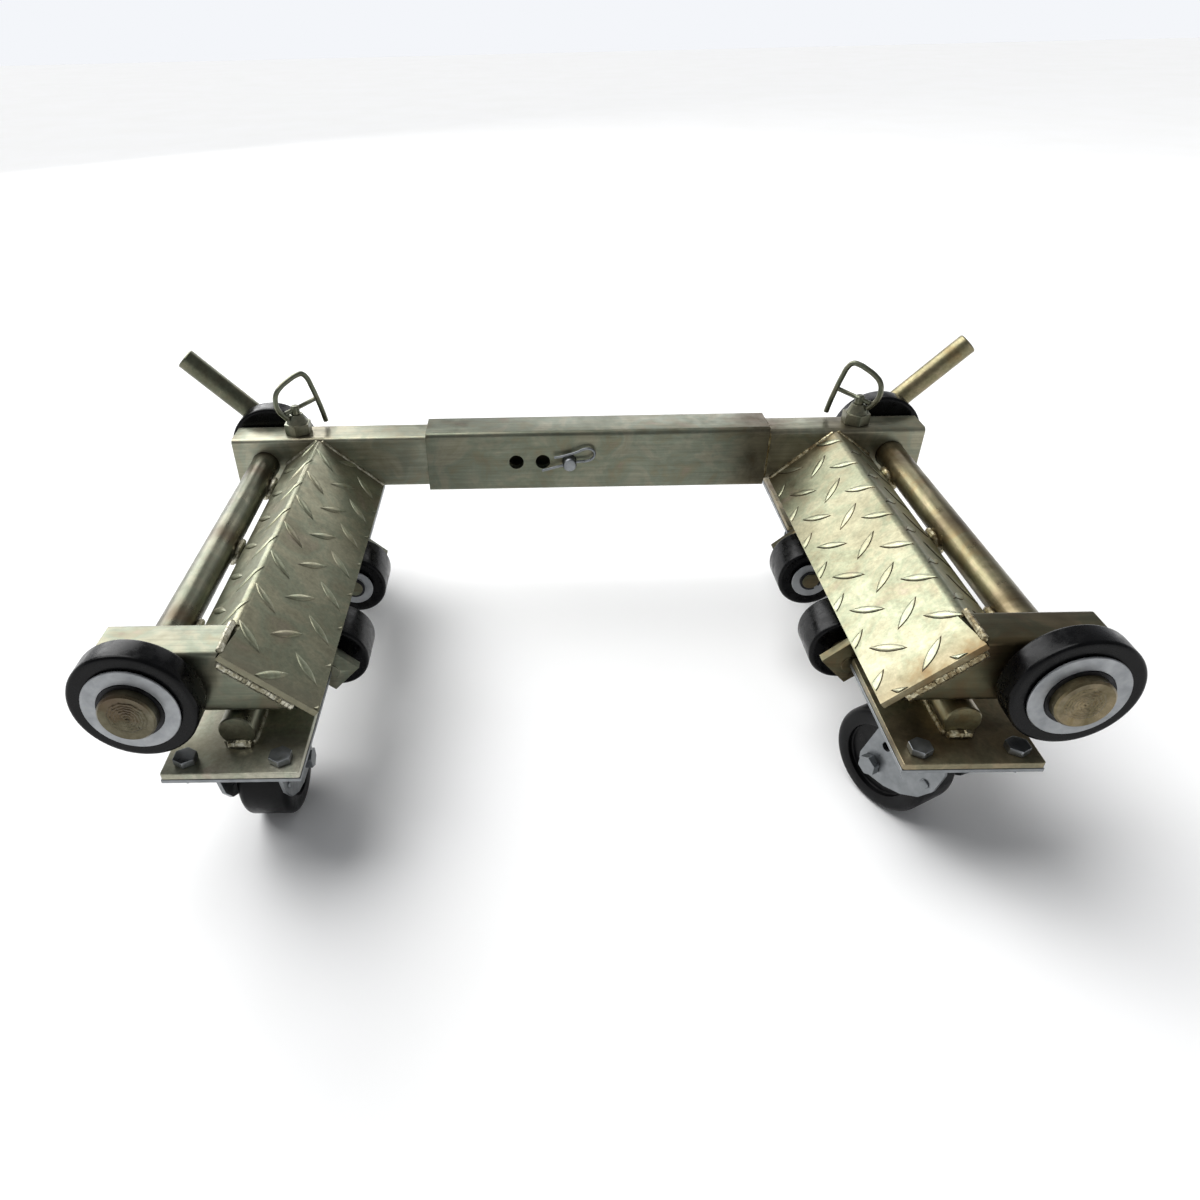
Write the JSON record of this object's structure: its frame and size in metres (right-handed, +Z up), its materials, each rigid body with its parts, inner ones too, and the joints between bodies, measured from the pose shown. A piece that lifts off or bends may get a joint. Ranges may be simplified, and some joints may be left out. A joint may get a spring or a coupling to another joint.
{
  "type": "wheel dolly",
  "caption": "Lever-operated wheel dolly with a telescoping crossbar, checker-plate ramp arms, swinging swivel-caster carriages and side rollers.",
  "frame": {"origin": "centre of the overall footprint at floor level", "axes": "+X across the dolly towards the fixed arm, +Y from the open ends of the arms towards the crossbar, +Z up"},
  "size_m": [0.9174, 0.531, 0.2917],
  "materials": {
    "yellow_zinc": "yellow zinc passivated",
    "bright_zinc": "bright zinc plated",
    "washer_zinc": "satin zinc plated",
    "black_rubber": "smooth black",
    "spring_steel": "black oxide spring steel"
  },
  "bodies": {
    "right_arm": {"sleeve": "yellow_zinc", "right_cross_tube": "yellow_zinc", "right_ramp": "yellow_zinc", "right_end_block": "yellow_zinc", "right_front_roller_bracket": "yellow_zinc", "right_rear_roller_bracket": "yellow_zinc", "right_plunger_body": "yellow_zinc"},
    "left_arm": {"left_cross_tube": "yellow_zinc", "left_ramp": "yellow_zinc", "left_end_block": "yellow_zinc", "left_front_roller_bracket": "yellow_zinc", "left_rear_roller_bracket": "yellow_zinc", "left_plunger_body": "yellow_zinc"},
    "lock_pin": {"lock_pin": "bright_zinc"},
    "pin_clip": {"pin_clip": "bright_zinc"},
    "left_plunger": {"left_plunger_pin": "yellow_zinc", "left_pull_ring": "yellow_zinc"},
    "left_carriage": {"left_pivot_rod": "yellow_zinc", "left_lever_stub": "yellow_zinc", "left_swing_frame": "yellow_zinc", "left_front_washer": "washer_zinc", "left_rear_washer": "washer_zinc", "left_front_circlip": "spring_steel", "left_rear_circlip": "spring_steel", "left_front_caster_plate": "bright_zinc", "left_rear_caster_plate": "bright_zinc"},
    "left_front_big_wheel": {"left_front_roller": "black_rubber"},
    "left_rear_big_wheel": {"left_rear_roller": "black_rubber"},
    "left_front_small_wheel": {"left_front_mid_roller": "black_rubber"},
    "left_rear_small_wheel": {"left_rear_mid_roller": "black_rubber"},
    "left_front_fork": {"left_front_caster_fork": "bright_zinc", "left_front_caster_axle": "bright_zinc"},
    "left_front_wheel": {"left_front_caster_wheel": "black_rubber"},
    "left_rear_fork": {"left_rear_caster_fork": "bright_zinc", "left_rear_caster_axle": "bright_zinc"},
    "left_rear_wheel": {"left_rear_caster_wheel": "black_rubber"},
    "right_plunger": {"right_plunger_pin": "yellow_zinc", "right_pull_ring": "yellow_zinc"},
    "right_carriage": {"right_pivot_rod": "yellow_zinc", "right_lever_stub": "yellow_zinc", "right_swing_frame": "yellow_zinc", "right_front_washer": "washer_zinc", "right_rear_washer": "washer_zinc", "right_front_circlip": "spring_steel", "right_rear_circlip": "spring_steel", "right_front_caster_plate": "bright_zinc", "right_rear_caster_plate": "bright_zinc"},
    "right_front_big_wheel": {"right_front_roller": "black_rubber"},
    "right_rear_big_wheel": {"right_rear_roller": "black_rubber"},
    "right_front_small_wheel": {"right_front_mid_roller": "black_rubber"},
    "right_rear_small_wheel": {"right_rear_mid_roller": "black_rubber"},
    "right_front_fork": {"right_front_caster_fork": "bright_zinc", "right_front_caster_axle": "bright_zinc"},
    "right_front_wheel": {"right_front_caster_wheel": "black_rubber"},
    "right_rear_fork": {"right_rear_caster_fork": "bright_zinc", "right_rear_caster_axle": "bright_zinc"},
    "right_rear_wheel": {"right_rear_caster_wheel": "black_rubber"}
  },
  "joints": [
    {"name": "telescope_slide", "type": "slide", "parent": "right_arm", "child": "left_arm", "axis": [-1, 0, 0], "range_m": [0, 0.06]},
    {"name": "lock_pin_turn", "type": "hinge", "parent": "right_arm", "child": "lock_pin", "pos_m": [-0.008, 0.1885, 0.187], "axis": [0, 1, 0], "continuous": true},
    {"name": "clip_slide", "type": "slide", "parent": "lock_pin", "child": "pin_clip", "axis": [0.9689, 0, 0.2474], "range_m": [0, 0.034]},
    {"name": "left_plunger_lift", "type": "slide", "parent": "left_arm", "child": "left_plunger", "axis": [0, 0, 1], "range_m": [0, 0.012], "stiffness_N_per_m": 700, "springref_m": -0.01},
    {"name": "left_carriage_swing", "type": "hinge", "parent": "left_arm", "child": "left_carriage", "pos_m": [-0.354, -0.0115, 0.187], "axis": [0, 1, 0], "range_deg": [0, 100]},
    {"name": "left_front_roller_spin", "type": "hinge", "parent": "left_carriage", "child": "left_front_big_wheel", "pos_m": [-0.354, -0.2415, 0.187], "axis": [0, 1, 0], "continuous": true},
    {"name": "left_rear_roller_spin", "type": "hinge", "parent": "left_carriage", "child": "left_rear_big_wheel", "pos_m": [-0.354, 0.223, 0.187], "axis": [0, 1, 0], "continuous": true},
    {"name": "left_front_mid_roller_spin", "type": "hinge", "parent": "left_arm", "child": "left_front_small_wheel", "pos_m": [-0.238, -0.0805, 0.116], "axis": [0, 1, 0], "continuous": true},
    {"name": "left_rear_mid_roller_spin", "type": "hinge", "parent": "left_arm", "child": "left_rear_small_wheel", "pos_m": [-0.238, 0.043, 0.116], "axis": [0, 1, 0], "continuous": true},
    {"name": "left_front_caster_swivel", "type": "hinge", "parent": "left_carriage", "child": "left_front_fork", "pos_m": [-0.291, -0.196, 0.121], "axis": [0, 0, 1], "continuous": true},
    {"name": "left_front_caster_roll", "type": "hinge", "parent": "left_front_fork", "child": "left_front_wheel", "pos_m": [-0.291, -0.167, 0.05], "axis": [-1, 0, 0], "continuous": true},
    {"name": "left_rear_caster_swivel", "type": "hinge", "parent": "left_carriage", "child": "left_rear_fork", "pos_m": [-0.291, 0.18, 0.121], "axis": [0, 0, 1], "continuous": true},
    {"name": "left_rear_caster_roll", "type": "hinge", "parent": "left_rear_fork", "child": "left_rear_wheel", "pos_m": [-0.30092, 0.20725, 0.05], "axis": [-0.9397, -0.342, 0], "continuous": true},
    {"name": "right_plunger_lift", "type": "slide", "parent": "right_arm", "child": "right_plunger", "axis": [0, 0, 1], "range_m": [0, 0.012], "stiffness_N_per_m": 700, "springref_m": -0.01},
    {"name": "right_carriage_swing", "type": "hinge", "parent": "right_arm", "child": "right_carriage", "pos_m": [0.354, -0.0115, 0.187], "axis": [0, -1, 0], "range_deg": [0, 100]},
    {"name": "right_front_roller_spin", "type": "hinge", "parent": "right_carriage", "child": "right_front_big_wheel", "pos_m": [0.354, -0.2415, 0.187], "axis": [0, 1, 0], "continuous": true},
    {"name": "right_rear_roller_spin", "type": "hinge", "parent": "right_carriage", "child": "right_rear_big_wheel", "pos_m": [0.354, 0.223, 0.187], "axis": [0, 1, 0], "continuous": true},
    {"name": "right_front_mid_roller_spin", "type": "hinge", "parent": "right_arm", "child": "right_front_small_wheel", "pos_m": [0.238, -0.0805, 0.116], "axis": [0, 1, 0], "continuous": true},
    {"name": "right_rear_mid_roller_spin", "type": "hinge", "parent": "right_arm", "child": "right_rear_small_wheel", "pos_m": [0.238, 0.043, 0.116], "axis": [0, 1, 0], "continuous": true},
    {"name": "right_front_caster_swivel", "type": "hinge", "parent": "right_carriage", "child": "right_front_fork", "pos_m": [0.291, -0.196, 0.121], "axis": [0, 0, 1], "continuous": true},
    {"name": "right_front_caster_roll", "type": "hinge", "parent": "right_front_fork", "child": "right_front_wheel", "pos_m": [0.27738, -0.17039, 0.05], "axis": [-0.8829, -0.4695, 0], "continuous": true},
    {"name": "right_rear_caster_swivel", "type": "hinge", "parent": "right_carriage", "child": "right_rear_fork", "pos_m": [0.291, 0.18, 0.121], "axis": [0, 0, 1], "continuous": true},
    {"name": "right_rear_caster_roll", "type": "hinge", "parent": "right_rear_fork", "child": "right_rear_wheel", "pos_m": [0.30092, 0.20725, 0.05], "axis": [-0.9397, 0.342, 0], "continuous": true}
  ]
}
